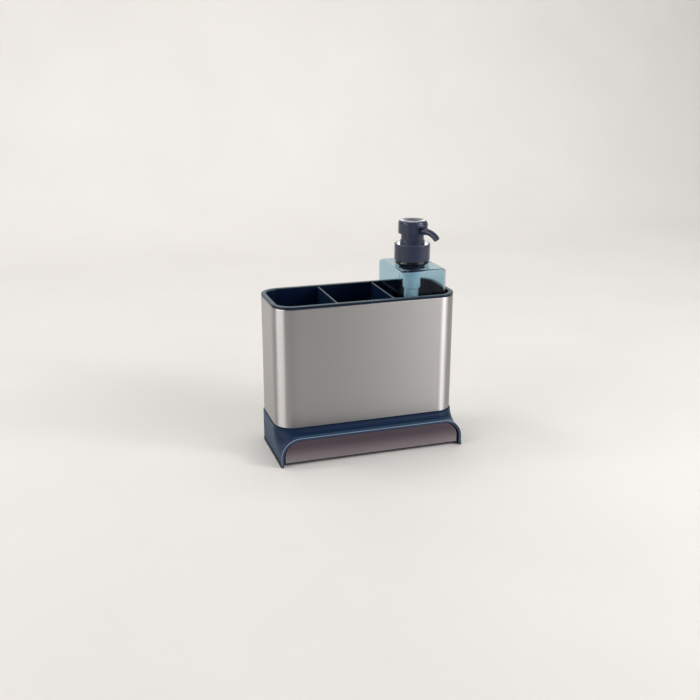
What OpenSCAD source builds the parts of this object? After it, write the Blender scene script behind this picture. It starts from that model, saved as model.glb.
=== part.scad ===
// Sink caddy with a pump bottle. A brushed steel sleeve stands on a hooded plastic base and
// surrounds a bin with three compartments. A drip tray with a steel front pulls out of the
// base, and a clear bottle with a lotion pump stands in the right-hand compartment.
// X runs to the right, Y to the back and Z up. The origin is the centre of the footprint.

/* [Sleeve] */
// Width of the steel sleeve
sleeve_w = 190; // [180:1:205]
// Depth of the steel sleeve
sleeve_d = 80; // [76:1:90]
// Corner radius of the sleeve, seen from above
sleeve_r = 20; // [17:0.5:22]
// Height of the steel sleeve
sleeve_h = 121.6; // [112:0.2:128]
// Thickness of the sheet steel
steel_t = 0.8; // [0.6:0.1:1]

/* [Bin] */
// Height of the bin's rim above the steel
rim_h = 2.7; // [2:0.1:4]
// Width of the rim beside the opening
rim_w = 5; // [4.6:0.1:5.4]
// Thickness of the bin's walls and dividers
bin_wall = 1.8; // [1.4:0.1:2]
// Place of the left divider, as a share of the opening's width
left_divider_share = 0.325; // [0.28:0.005:0.34]
// Place of the right divider, as a share of the opening's width
right_divider_share = 0.655; // [0.62:0.005:0.66]

/* [Base] */
// Height of the base below the steel
base_h = 34.4; // [33:0.2:38]
// Reach of the hood in front of the steel
hood_reach = 16; // [14:0.5:19]
// Height of the hood's lip above the counter
lip_z = 29.4; // [28.6:0.1:30]
// Corner radius of the hood, seen from the front
hood_r = 19.5; // [18:0.5:20]
// Thickness of the base's walls
base_wall = 2.2; // [1.8:0.1:2.4]
// Height of the rubber feet
foot_h = 4; // [3:0.2:4.4]

/* [Bottle] */
// Mean gap between the bottle's sides and its compartment's
bottle_side_gap = 5.6; // [4.5:0.1:9]
// Gap between the bottle and the bin, in front and behind
bottle_gap = 2; // [1.5:0.1:5]
// Corner radius of the bottle, seen from above
bottle_r = 4.5; // [4:0.5:8]
// Height of the bottle from its foot to its shoulder
bottle_h = 145.2; // [140:0.2:150]
// Thickness of the bottle's wall
bottle_wall = 1.5; // [1.2:0.1:1.8]

/* [Pump] */
// Diameter of the closure collar
collar_d = 36.6; // [36:0.1:38]
// How much narrower the pump's head is than its collar
head_step = 7.1; // [6.4:0.1:8]
// Distance from the pump's axis to the spout's tip
spout_reach = 31.2; // [29:0.2:36]
// Direction of the spout, seen from above, from +X
spout_turn = -60; // [-180:5:180]
// Travel of the pump's head
stroke = 6; // [4:0.5:8]

/* [Hidden] */
$fn = 72;

// Clearances that the fits share
overcut = 1;
slip = 0.3;
running = 0.08;
tight = 0.03;

// Footprint and the sleeve's place on it
base_proud = 1;
base_w = sleeve_w + 2 * base_proud;
base_d = hood_reach + sleeve_d + base_proud;
y_front = -base_d / 2;
sleeve_y = base_d / 2 - base_proud - sleeve_d / 2;
tub_d = sleeve_d + 2 * base_proud;
tub_r = sleeve_r + base_proud;
sleeve_top = base_h + sleeve_h;
rim_top = sleeve_top + rim_h;

// Base shell
base_gap = 1.2;
deck_t = 2.5;
deck_z = base_h - deck_t;
deck_rim = 7;
spigot_h = 9.6;
spigot_t = 2;
spigot_w = sleeve_w - 2 * steel_t - 2 * tight;
spigot_d = sleeve_d - 2 * steel_t - 2 * tight;
spigot_r = sleeve_r - steel_t - tight;
shadow_h = 0.8;
shadow_in = 0.6;
tub_top = base_h - shadow_h;
corner_x = base_w / 2 - tub_r;
corner_y = sleeve_y - tub_d / 2 + tub_r;
hood_proud = 0.15;
hood_drop = 0.3;
hood_top = tub_top - hood_drop;
cove_dip = 2;
cove_rows = 9;
cove_stations = 9;
mouth_drop = 4.2;
mouth_ease = 2.5;
mouth_w = base_w - 2 * base_wall;
mouth_top = lip_z - mouth_drop;
mouth_r = hood_r - mouth_ease;

// Ledges that the tray slides on
ledge_w = 3;
ledge_t = 1.7;
ledge_z = 2.2;
ledge_setback = 6.9;
ledge_front = y_front + ledge_setback;

// Feet
foot_proud = 0.7;
foot_t = 2.9;
foot_setback = 0.4;
foot_skin = base_wall / 2;
foot_w = base_w + 2 * foot_proud;
foot_front = y_front + foot_setback;
foot_back = sleeve_y + tub_d / 2 - tub_r;
rear_foot_share = 0.62;
rear_foot_w = rear_foot_share * base_w;
rear_foot_d = 6;

// Bin
bin_gap = 2;
open_w = sleeve_w - 2 * rim_w;
open_d = sleeve_d - 2 * rim_w;
open_r = sleeve_r - rim_w;
bin_w = open_w + 2 * bin_wall;
bin_d = open_d + 2 * bin_wall;
bin_r = open_r + bin_wall;
bin_z = base_h + bin_gap;
floor_t = 2;
floor_z = bin_z + floor_t;
divider_drop = 0.9;
divider_lap = 1;
left_divider_x = open_w * (left_divider_share - 1 / 2);
right_divider_x = open_w * (right_divider_share - 1 / 2);
locating_h = 4;
slot_w = 5;
slot_length_share = 0.62;
slots_per_compartment = 3;

// Tray
tray_gap = 2;
tray_side_gap = 1.3;
tray_z = ledge_z + ledge_t + slip;
tray_w = mouth_w - 2 * tray_side_gap;
tray_t = 1.6;
tray_h = 8.9;
tray_top = tray_z + tray_h;
plate_recess = 2.3;
plate_t = 0.8;
plate_border = 1.4;
plate_y = y_front + plate_recess;
front_t = 2;
front_gap = 0.4;
front_y = plate_y + plate_t;
front_z = 2.6;
front_w = mouth_w - 2 * front_gap;
front_top = mouth_top - front_gap;
front_r = mouth_r - front_gap;

// Bottle and neck
bottle_lean = 0.75;
pump_x = (right_divider_x + bin_wall / 2 + open_w / 2) / 2 - bottle_lean;
bottle_w = open_w / 2 - right_divider_x - bin_wall / 2 - 2 * bottle_side_gap;
bottle_d = open_d - 2 * bottle_gap;
shoulder_z = floor_z + bottle_h;
shoulder_r = 3;
dome_h = 3.4;
dome_z = shoulder_z + dome_h;
neck_in = 2.9;
neck_wall = 1.4;
neck_h = 16.8;
neck_r = collar_d / 2 - neck_in;
dome_foot_step = 2;
dome_foot_r = neck_r + dome_foot_step;
neck_bore_r = neck_r - neck_wall;
neck_top = shoulder_z + neck_h;
thread_proud = 0.8;
thread_r = neck_r + thread_proud;
thread_h = 1.6;
thread_drops = [3.4, 7.4];
bottle_foot = 1;
bottle_foot_in = 3;
bottle_floor = 2.5;

// Collar and the pieces clamped in the neck
gasket_t = 0.8;
flange_t = 2;
ring_flange_z = neck_top + gasket_t;
collar_under_z = ring_flange_z + flange_t;
collar_top_t = 1.8;
collar_top_z = collar_under_z + collar_top_t;
collar_lift = 1.2;
collar_z = dome_z + collar_lift;
collar_wall = 1.8;
collar_bevel = 0.8;
flange_in = 1.3;
flange_r = collar_d / 2 - collar_wall - flange_in;
cup_t = 1.2;
cup_depth = 18.9;
cup_r = neck_bore_r - slip;
ring_wall = 0.87;
ring_step = 1.03;
ring_r = cup_r - ring_step;
ring_bore_r = ring_r - ring_wall;
ring_h = 3.7;
ring_top = collar_top_z + ring_h;
cup_floor_z = neck_top - cup_depth;
plug_r = 7.8;
plug_h = 1.5;
plug_z = cup_floor_z - plug_h;
cup_rise = 2.5;

// Housing below the neck, with the tube's socket and the inlet valve's seat
barrel_r = 9;
grip_wall = 1.2;
grip_r = barrel_r + grip_wall;
grip_h = 4;
barrel_bore_r = plug_r + tight;
barrel_drop = 26.8;
barrel_step_z = shoulder_z - barrel_drop;
step_t = 1.4;
well_r = 7.1;
well_bore_r = 6.1;
well_h = 24.6;
well_floor_t = 1.5;
well_taper_h = 5;
well_z = barrel_step_z - well_h;
socket_r = 4.4;
socket_h = 22;
socket_z = well_z - socket_h;
tube_r = 3.2;
tube_bore_r = 2.3;
tube_stop_drop = 10;
tube_stop_z = well_z - tube_stop_drop;
tube_foot_gap = 2.6;
seat_r = 2;
seat_top_r = 3;
seat_h = 2;
seat_cone_h = 2;
ball_r = 2.4;
ball_rise = 3.5;

// Stem, piston and spring at rest
stem_r = 4;
stem_bore_r = 2;
stem_foot_drop = 10;
stem_foot_z = plug_z - stem_foot_drop;
stem_foot_t = 2.2;
stem_foot_r = 5.6;
piston_slip = 0.06;
piston_r = barrel_bore_r - piston_slip;
piston_h = 6.8;
piston_waist = 0.5;
piston_lip = 1.6;
spring_r = 5;
wire_r = 0.5;
spring_turns = 8;
spring_steps = 14;
wire_sides = 8;

// Head
head_gap = 1;
head_h = 12.9;
head_z = ring_top + stroke + head_gap;
head_top = head_z + head_h;
cover_t = 1.4;
cover_r = (collar_d - head_step) / 2;
cover_bevel = 1.2;
skirt_r = ring_bore_r - running;
skirt_t = 1.5;
skirt_lift = 1;
skirt_z = collar_top_z + skirt_lift;
roof_drop = 4.1;
roof_z = head_top - roof_drop;
roof_t = 1.6;
dish_in = 2.35;
dish_r = cover_r - dish_in;
dish_depth = 2;
notch_half_angle = 38;
notch_h = 7.1;
notch_top = head_z + notch_h;

// Spout, and the boss and chamber behind it
spout_r = 3.15;
spout_bore_r = 1.9;
spout_dip = 0.1;
spout_z = head_z + spout_r - spout_dip;
spout_drop_angle = 45;
spout_bend_reach = 13.1;
spout_bend_r = spout_bend_reach / sin(spout_drop_angle);
spout_bend_lap = 2;
spout_bend_thin = 0.06;
spout_end = 1.5;
spout_start = spout_reach - spout_end * cos(spout_drop_angle) - spout_bend_reach;
root_r = 3.9;
root_tip_r = 3.5;
root_rise = 0.2;
root_proud = 0.6;
root_start = skirt_r - skirt_t / 2;
root_end = cover_r + root_proud;
boss_r = 5.6;
boss_h = 8;
chamber_r = 2.5;
chamber_drop = 0.6;
stem_top = spout_z - spout_bore_r - chamber_drop;
outlet_ball_r = 1.5;

// A rectangle with round corners
module rounded(w, d, r) {
    square([w - 2 * r, d], center = true);
    square([w, d - 2 * r], center = true);
    for (x = [-1, 1], y = [-1, 1])
        translate([x * (w / 2 - r), y * (d / 2 - r)])
            circle(r);
}

// A rounded block about the sleeve's axis, from one height to another
module slab(w, d, r, low, high) {
    translate([0, sleeve_y, low])
        linear_extrude(high - low)
            rounded(w, d, r);
}

// An upright outline with two round top corners
module arch(w, top, r) {
    translate([-w / 2, 0])
        square([w, top - r]);
    translate([r - w / 2, 0])
        square([w - 2 * r, top]);
    for (x = [-1, 1])
        translate([x * (w / 2 - r), top - r])
            circle(r);
}

// That outline as a block, from a front face to a back one
module arch_block(w, top, r, front, back) {
    translate([0, back, 0])
        rotate([90, 0, 0])
            linear_extrude(back - front)
                arch(w, top, r);
}

// A box between two corners
module box(low, high) {
    translate(low)
        cube(high - low);
}

// Its children on the right, and their mirror image on the left
module both_sides() {
    children();
    mirror([1, 0, 0])
        children();
}

// Places its children on the pump's axis
module on_pump() {
    translate([pump_x, sleeve_y, 0])
        children();
}

// A ring about the Z axis
module ring(outer, inner, low, high) {
    translate([0, 0, low])
        difference() {
            cylinder(r = outer, h = high - low);
            translate([0, 0, -overcut])
                cylinder(r = inner, h = high - low + 2 * overcut);
        }
}

// One station of the hood: a point on the tub's outline, and the point of the lip it runs to
function station(side, turn) = [
    side * (corner_x + (tub_r + hood_proud) * cos(turn)),
    corner_y - (tub_r + hood_proud) * sin(turn),
    side * (base_w / 2 + hood_proud - hood_r + hood_r * cos(turn)),
    lip_z - hood_r + hood_r * sin(turn),
    cove_dip * pow(sin(turn), 2)
];

// A point of the hood's surface, from the tub at 0 to the lip at 1
function cove_point(s, t) = [
    s[0] + (s[2] - s[0]) * (1 - cos(90 * t)),
    s[1] + (y_front - s[1]) * (1 - cos(90 * t)),
    s[3] + (hood_top - s[3]) * (1 - sin(90 * t)) - s[4] * pow(sin(180 * t), 2)
];

// The hood: its top sweeps from the tub's outline, round both corners, down to the lip
module hood() {
    turns = [for (i = [0 : cove_stations]) 90 * i / cove_stations];
    stations = concat(
        [for (i = [0 : cove_stations]) station(-1, turns[i])],
        [for (i = [0 : cove_stations]) station(1, turns[cove_stations - i])]
    );
    count = len(stations);
    rows = cove_rows + 2;
    // Each station's points: inside the tub, down the cove, then the foot of the lip and of the tub
    loop = rows + 2;
    points = [
        for (s = stations) each concat(
            [[s[0], corner_y + overcut, hood_top - overcut]],
            [for (j = [0 : cove_rows]) cove_point(s, j / cove_rows)],
            [[s[2], y_front, base_gap], [s[0], corner_y + overcut, base_gap]]
        )
    ];
    skin = [
        for (i = [0 : count - 2], j = [0 : loop - 1])
            let (
                a = i * loop + j,
                b = i * loop + (j + 1) % loop
            )
            each [[a, a + loop, b], [b, a + loop, b + loop]]
    ];
    first_end = [[for (j = [0 : loop - 1]) (j + loop - 1) % loop]];
    last_end = [[for (j = [loop - 1 : -1 : 0]) (count - 1) * loop + j]];
    polyhedron(points, concat(skin, first_end, last_end), convexity = 6);
}

// Hooded base: a tub below the sleeve, open below and in front, with a collar inside the steel
module base_shell() {
    color("#2f4a68") {
        difference() {
            union() {
                slab(base_w, tub_d, tub_r, base_gap, tub_top);
                slab(sleeve_w - 2 * shadow_in, sleeve_d - 2 * shadow_in, sleeve_r - shadow_in,
                    base_gap, base_h);
                hood();
                slab(spigot_w, spigot_d, spigot_r, deck_z, base_h + spigot_h);
            }
            slab(mouth_w, tub_d - 2 * base_wall, tub_r - base_wall, -overcut, deck_z);
            arch_block(mouth_w, mouth_top, mouth_r, y_front - overcut, sleeve_y);
            slab(sleeve_w - 2 * deck_rim, sleeve_d - 2 * deck_rim, sleeve_r - deck_rim,
                deck_z - overcut, base_h + overcut);
            slab(spigot_w - 2 * spigot_t, spigot_d - 2 * spigot_t, spigot_r - spigot_t,
                base_h, base_h + spigot_h + overcut);
            both_sides()
                box([base_w / 2 - foot_skin, y_front - overcut, -overcut], [base_w, foot_back, foot_h]);
            box([-rear_foot_w / 2, base_d / 2 - rear_foot_d, -overcut],
                [rear_foot_w / 2, base_d / 2 - foot_proud, foot_h]);
        }
        both_sides()
            box([mouth_w / 2 - ledge_w, ledge_front, ledge_z],
                [(base_w + mouth_w) / 4 - running, foot_back, ledge_z + ledge_t]);
    }
}

// Rubber strip under the right side wall, with a bead that shows outside
module foot_right() {
    color("#25364c") {
        box([foot_w / 2 - foot_t, foot_front, 0], [foot_w / 2, foot_back, base_gap]);
        box([base_w / 2 - foot_skin, foot_front, 0], [foot_w / 2, foot_back, foot_h]);
    }
}

// The same strip under the left side wall
module foot_left() {
    mirror([1, 0, 0])
        foot_right();
}

// Rubber strip under the back wall
module foot_rear() {
    color("#25364c")
        box([-rear_foot_w / 2, base_d / 2 - rear_foot_d, 0],
            [rear_foot_w / 2, base_d / 2 - foot_proud, foot_h]);
}

// Brushed steel tube that stands on the base
module steel_sleeve() {
    color("silver")
        difference() {
            slab(sleeve_w, sleeve_d, sleeve_r, base_h, sleeve_top);
            slab(sleeve_w - 2 * steel_t, sleeve_d - 2 * steel_t, sleeve_r - steel_t,
                base_h - overcut, sleeve_top + overcut);
        }
}

// The drain slots of one compartment
module drain_slots(x_low, x_high) {
    pitch = (x_high - x_low) / (slots_per_compartment + 1);
    for (i = [1 : slots_per_compartment])
        translate([x_low + i * pitch, sleeve_y, floor_z])
            cube([slot_w, open_d * slot_length_share, 4 * floor_t], center = true);
}

// Plastic bin that hangs on the steel by its rim, with two dividers moulded in
module insert_bin() {
    color("#1f3450") {
        difference() {
            union() {
                slab(sleeve_w, sleeve_d, sleeve_r, sleeve_top, rim_top);
                slab(bin_w, bin_d, bin_r, bin_z, sleeve_top);
                slab(sleeve_w - 2 * steel_t - 2 * slip, sleeve_d - 2 * steel_t - 2 * slip,
                    sleeve_r - steel_t - slip, sleeve_top - locating_h, sleeve_top);
            }
            slab(open_w, open_d, open_r, floor_z, rim_top + overcut);
            drain_slots(-open_w / 2, left_divider_x);
            drain_slots(left_divider_x, right_divider_x);
            drain_slots(right_divider_x, open_w / 2);
        }
        for (x = [left_divider_x, right_divider_x])
            box([x - bin_wall / 2, sleeve_y - open_d / 2 - divider_lap, floor_z - divider_lap],
                [x + bin_wall / 2, sleeve_y + open_d / 2 + divider_lap, rim_top - divider_drop]);
    }
}

// The tray's outline: round at the back, square where it meets its front
module tray_block(inset, low, high) {
    intersection() {
        slab(tray_w - 2 * inset, tub_d - 2 * (base_wall + tray_gap + inset),
            tub_r - base_wall - tray_gap - inset, low, high);
        box([-base_w, sleeve_y, low - overcut], [base_w, base_d, high + overcut]);
    }
    box([inset - tray_w / 2, front_y + front_t - overcut + inset, low],
        [tray_w / 2 - inset, sleeve_y, high]);
}

// Shallow tray that catches what drips through the bin, with an upright front
module drip_tray() {
    color("#2f4a68")
        difference() {
            union() {
                intersection() {
                    arch_block(front_w, front_top, front_r, front_y, front_y + front_t);
                    box([-base_w, y_front, front_z], [base_w, sleeve_y, base_h]);
                }
                tray_block(0, tray_z, tray_top);
            }
            tray_block(tray_t, tray_z + tray_t, base_h);
        }
}

// Sheet steel plate on the tray's front
module tray_front_plate() {
    color("silver")
        intersection() {
            arch_block(front_w - 2 * plate_border, front_top - plate_border,
                front_r - plate_border, plate_y, front_y);
            box([-base_w, y_front, front_z], [base_w, sleeve_y, base_h]);
        }
}

// The bottle's body grown inwards by an inset, with shoulders rounded along all four edges
module bottle_body(inset, low, high) {
    w = bottle_w - 2 * inset;
    d = bottle_d - 2 * inset;
    r = shoulder_r - inset;
    intersection() {
        translate([0, 0, low])
            linear_extrude(high - low)
                rounded(w, d, bottle_r - inset);
        translate([0, d / 2, 0])
            rotate([90, 0, 0])
                linear_extrude(d)
                    arch(w, high, r);
        rotate([0, 0, 90])
            translate([0, w / 2, 0])
                rotate([90, 0, 0])
                    linear_extrude(w)
                        arch(d, high, r);
    }
}

// Clear bottle with a domed shoulder and a threaded neck
module bottle() {
    color("#a8c8d4", 0.5)
        on_pump()
            difference() {
                union() {
                    bottle_body(0, floor_z, shoulder_z);
                    translate([0, 0, shoulder_z - overcut])
                        cylinder(r1 = dome_foot_r, r2 = neck_r, h = dome_h + overcut);
                    translate([0, 0, shoulder_z])
                        cylinder(r = neck_r, h = neck_top - shoulder_z);
                    for (drop = thread_drops)
                        translate([0, 0, neck_top - drop])
                            cylinder(r = thread_r, h = thread_h);
                }
                bottle_body(bottle_wall, floor_z + bottle_floor, shoulder_z - bottle_wall);
                translate([0, 0, shoulder_z - 2 * bottle_wall])
                    cylinder(r = neck_bore_r, h = neck_top);
                translate([0, 0, floor_z - overcut])
                    linear_extrude(bottle_foot + overcut)
                        rounded(bottle_w - 2 * bottle_foot_in, bottle_d - 2 * bottle_foot_in,
                            bottle_r - bottle_foot_in);
            }
}

// Screw collar that clamps the pump on the neck
module closure_collar() {
    color("#3c3f50")
        on_pump()
            difference() {
                union() {
                    translate([0, 0, collar_z])
                        cylinder(r1 = collar_d / 2 - collar_bevel, r2 = collar_d / 2, h = collar_bevel);
                    translate([0, 0, collar_z + collar_bevel])
                        cylinder(r = collar_d / 2, h = collar_top_z - collar_z - collar_bevel);
                }
                translate([0, 0, collar_z - overcut])
                    cylinder(r = collar_d / 2 - collar_wall, h = collar_under_z - collar_z + overcut);
                translate([0, 0, collar_z])
                    cylinder(r = ring_r + running, h = collar_top_z);
            }
}

// Soft washer between the neck and the housing
module neck_gasket() {
    color("#9aa6ad")
        on_pump()
            ring(neck_r, cup_r + running, neck_top, neck_top + gasket_t);
}

// Guide ring for the head: its flange lies on the washer, its cup hangs in the neck and grips the barrel
module lock_ring() {
    color("#37394a")
        on_pump()
            rotate_extrude()
                polygon([
                    [ring_bore_r, cup_floor_z + cup_t], [ring_bore_r, ring_top], [ring_r, ring_top],
                    [ring_r, collar_under_z], [flange_r, collar_under_z],
                    [flange_r, ring_flange_z], [cup_r, ring_flange_z],
                    [cup_r, cup_floor_z + cup_rise], [grip_r, cup_floor_z - grip_h],
                    [barrel_r + tight, cup_floor_z - grip_h], [barrel_r + tight, cup_floor_z],
                    [plug_r, cup_floor_z], [plug_r, plug_z],
                    [stem_r + running, plug_z], [stem_r + running, cup_floor_z + cup_t]
                ]);
}

// Pump housing: a barrel, a narrower well and a socket for the tube
module pump_housing() {
    color("#8fb4c4", 0.7)
        on_pump()
            rotate_extrude()
                polygon([
                    [barrel_r, cup_floor_z], [barrel_r, barrel_step_z],
                    [well_r, barrel_step_z], [well_r, well_z],
                    [socket_r, well_z - well_taper_h],
                    [socket_r, socket_z], [tube_r + tight, socket_z],
                    [tube_r + tight, tube_stop_z], [seat_r, tube_stop_z],
                    [seat_r, tube_stop_z + seat_h],
                    [seat_top_r, tube_stop_z + seat_h + seat_cone_h],
                    [seat_top_r, well_z + well_floor_t], [well_bore_r, well_z + well_floor_t],
                    [well_bore_r, barrel_step_z + step_t], [barrel_bore_r, barrel_step_z + step_t],
                    [barrel_bore_r, cup_floor_z]
                ]);
}

// Steel ball of the inlet valve, on its cone
module inlet_ball() {
    color("silver")
        on_pump()
            translate([0, 0, tube_stop_z + ball_rise])
                sphere(r = ball_r);
}

// Tube that draws from the bottle's floor
module dip_tube() {
    color("#c9dbe2", 0.7)
        on_pump()
            ring(tube_r, tube_bore_r, floor_z + bottle_floor + tube_foot_gap, tube_stop_z);
}

// Steel compression spring between the housing's floor and the stem's foot
module return_spring() {
    low = well_z + well_floor_t + wire_r + tight;
    high = stem_foot_z - wire_r - tight;
    rings = spring_turns * spring_steps;
    points = [
        for (i = [0 : rings], k = [0 : wire_sides - 1])
            let (
                turn = 360 * i / spring_steps,
                round = 360 * k / wire_sides,
                reach = spring_r + wire_r * cos(round)
            )
            [reach * cos(turn), reach * sin(turn),
             low + (high - low) * i / rings + wire_r * sin(round)]
    ];
    skin = [
        for (i = [0 : rings - 1], k = [0 : wire_sides - 1])
            let (
                a = i * wire_sides + k,
                b = i * wire_sides + (k + 1) % wire_sides
            )
            each [[a, a + wire_sides, b], [b, a + wire_sides, b + wire_sides]]
    ];
    start = [[for (k = [0 : wire_sides - 1]) k]];
    end = [[for (k = [wire_sides - 1 : -1 : 0]) rings * wire_sides + k]];
    color("silver")
        on_pump()
            polyhedron(points, concat(skin, start, end), convexity = 10);
}

// Hollow stem that carries the piston and fills the head
module stem() {
    color("#dfe4e6")
        on_pump()
            difference() {
                union() {
                    translate([0, 0, stem_foot_z])
                        cylinder(r = stem_foot_r, h = stem_foot_t);
                    translate([0, 0, stem_foot_z])
                        cylinder(r = stem_r, h = stem_top - stem_foot_z);
                }
                translate([0, 0, stem_foot_z - overcut])
                    cylinder(r = stem_bore_r, h = stem_top - stem_foot_z + 2 * overcut);
            }
}

// Soft piston with a lip above and below
module piston() {
    low = stem_foot_z + stem_foot_t;
    high = low + piston_h;
    color("#f0f0ec")
        on_pump()
            rotate_extrude()
                polygon([
                    [stem_r + tight, low], [piston_r, low], [piston_r, low + piston_lip],
                    [piston_r - piston_waist, low + piston_lip],
                    [piston_r - piston_waist, high - piston_lip],
                    [piston_r, high - piston_lip], [piston_r, high], [stem_r + tight, high]
                ]);
}

// Ball of the outlet valve, on top of the stem
module outlet_ball() {
    color("silver")
        on_pump()
            translate([0, 0, stem_top - outlet_ball_r - tight])
                sphere(r = outlet_ball_r);
}

// The spout's outside or its duct, turned to its direction, from the axis to the tip
module spout_run(r, start, extra) {
    rotate([0, 0, spout_turn]) {
        translate([start, 0, spout_z])
            rotate([0, 90, 0])
                cylinder(r = r, h = spout_start - start);
        translate([spout_start, 0, spout_z - spout_bend_r])
            rotate([90, 0, 0])
                rotate_extrude(angle = spout_drop_angle + 2 * spout_bend_lap,
                    start = 90 - spout_drop_angle - spout_bend_lap)
                    translate([spout_bend_r, 0])
                        circle(r - spout_bend_thin);
        translate([spout_start + spout_bend_reach, 0,
                   spout_z - spout_bend_r * (1 - cos(spout_drop_angle))])
            rotate([0, 90 + spout_drop_angle, 0])
                cylinder(r = r, h = spout_end + extra);
    }
}

// Inner head: the skirt that slides in the guide ring, the boss on the stem, and the spout
module actuator() {
    boss_z = stem_top - boss_h;
    color("#37394a")
        on_pump()
            difference() {
                union() {
                    rotate_extrude()
                        polygon([
                            [0, boss_z], [boss_r, boss_z], [boss_r, roof_z],
                            [skirt_r - skirt_t, roof_z], [skirt_r - skirt_t, skirt_z],
                            [skirt_r, skirt_z], [skirt_r, roof_z + roof_t], [0, roof_z + roof_t]
                        ]);
                    spout_run(spout_r, boss_r - overcut, 0);
                    rotate([0, 0, spout_turn])
                        translate([root_start, 0, spout_z + root_rise])
                            rotate([0, 90, 0])
                                cylinder(r1 = root_r, r2 = root_tip_r, h = root_end - root_start);
                }
                translate([0, 0, boss_z - overcut])
                    cylinder(r = stem_r + tight, h = boss_h + overcut);
                translate([0, 0, stem_top - overcut])
                    cylinder(r = chamber_r, h = spout_z + spout_bore_r - stem_top + overcut);
                spout_run(spout_bore_r, 0, overcut);
            }
}

// Outer cover of the head, dished on top and cut away over the spout
module head_cover() {
    dish_ball_r = (pow(dish_r, 2) + pow(dish_depth, 2)) / (2 * dish_depth);
    color("#3a3c4c")
        on_pump()
            difference() {
                union() {
                    translate([0, 0, head_z])
                        cylinder(r = cover_r, h = head_top - cover_bevel - head_z);
                    translate([0, 0, head_top - cover_bevel])
                        cylinder(r1 = cover_r, r2 = cover_r - cover_bevel, h = cover_bevel);
                }
                translate([0, 0, head_z - overcut])
                    cylinder(r = cover_r - cover_t, h = roof_z + overcut - head_z);
                translate([0, 0, roof_z - overcut])
                    cylinder(r = skirt_r + tight, h = overcut + roof_t);
                translate([0, 0, head_top - dish_depth + dish_ball_r])
                    sphere(r = dish_ball_r);
                rotate([0, 0, spout_turn - notch_half_angle])
                    translate([0, 0, head_z - overcut])
                        rotate_extrude(angle = 2 * notch_half_angle)
                            translate([skirt_r + slip, 0])
                                square([cover_r, notch_top - head_z + overcut]);
            }
}

base_shell();
foot_left();
foot_right();
foot_rear();
steel_sleeve();
insert_bin();
drip_tray();
tray_front_plate();
bottle();
closure_collar();
neck_gasket();
lock_ring();
pump_housing();
inlet_ball();
dip_tube();
return_spring();
stem();
piston();
outlet_ball();
actuator();
head_cover();
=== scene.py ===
import math
import bpy
import bmesh
from mathutils import Matrix, Vector


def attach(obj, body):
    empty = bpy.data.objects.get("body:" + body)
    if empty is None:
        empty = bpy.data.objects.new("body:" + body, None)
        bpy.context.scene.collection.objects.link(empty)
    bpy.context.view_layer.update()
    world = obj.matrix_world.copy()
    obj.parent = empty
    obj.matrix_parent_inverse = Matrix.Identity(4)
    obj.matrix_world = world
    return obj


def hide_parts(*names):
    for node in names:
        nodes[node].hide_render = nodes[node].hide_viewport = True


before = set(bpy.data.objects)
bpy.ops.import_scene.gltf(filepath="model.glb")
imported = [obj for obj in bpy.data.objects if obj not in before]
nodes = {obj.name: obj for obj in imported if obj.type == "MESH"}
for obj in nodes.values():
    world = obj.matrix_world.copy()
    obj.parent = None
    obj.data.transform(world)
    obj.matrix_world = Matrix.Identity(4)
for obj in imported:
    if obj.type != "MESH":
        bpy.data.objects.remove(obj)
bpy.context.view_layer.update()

scene = bpy.context.scene


# Base shell. Navy ABS moulding: a tub under the steel whose front sweeps out as a hood over the drip tray.
# The sheet steel stands on its narrow ledge, located by a low collar that stands up inside it.
sleeve_y = 0.0075
base_w, base_d, base_r = 0.192, 0.082, 0.021
base_top, base_foot, shell_t, top_edge_r = 0.0328, 0.0012, 0.0022, 0.00045
corner_x, corner_y = base_w / 2 - base_r, sleeve_y - base_d / 2 + base_r
groove_in, ledge_in, ledge_z, ledge_under = 0.002, 0.008, 0.0344, 0.0319
locator_out, locator_in, locator_top = 0.00183, 0.00383, 0.044
lip_r, lip_z, lip_front, lip_round = 0.0195, 0.0294, -0.0485, 0.0007
mouth_x, mouth_z, mouth_r, mouth_round = 0.0766, 0.0099, 0.0172, 0.0004
hood_proud, hood_tuck, hood_drop, cove_hollow = 0.00003, 0.001, 0.0007, 0.002
mouth_margin = 0.0001
turns, cove_steps, lip_steps, mouth_steps = 26, 36, 6, 4


class Wire:
    """The output of a shader node. Operators on it add Math nodes, and node() adds any other."""

    def __init__(self, socket):
        self.socket = socket

    def node(self, kind, settings, inputs, output=0):
        tree = self.socket.id_data
        made = tree.nodes.new(kind)
        for key, value in settings.items():
            if key == "stops":
                stops = made.color_ramp.elements
                while len(stops) < len(value):
                    stops.new(1)
                for stop, (position, grey) in zip(stops, value):
                    stop.position = position
                    stop.color = (grey, grey, grey, 1)
            else:
                setattr(made, key, value)
        for key, value in inputs.items():
            socket = made.inputs[key]
            if isinstance(value, Wire):
                tree.links.new(value.socket, socket)
            else:
                socket.default_value = (*value, 1) if socket.type == "RGBA" else value
        return Wire(made.outputs[output])

    def maths(self, kind, first, second):
        return self.node("ShaderNodeMath", {"operation": kind}, {0: first, 1: second})

    def __add__(self, other):
        return self.maths("ADD", self, other)

    def __sub__(self, other):
        return self.maths("SUBTRACT", self, other)

    def __rsub__(self, other):
        return self.maths("SUBTRACT", other, self)

    def __mul__(self, other):
        return self.maths("MULTIPLY", self, other)

    def __abs__(self):
        return self.maths("ABSOLUTE", self, 0.0)

    def __lt__(self, other):
        return self.maths("LESS_THAN", self, other)

    def __gt__(self, other):
        return self.maths("GREATER_THAN", self, other)

    __radd__ = __add__
    __rmul__ = __mul__


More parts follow.
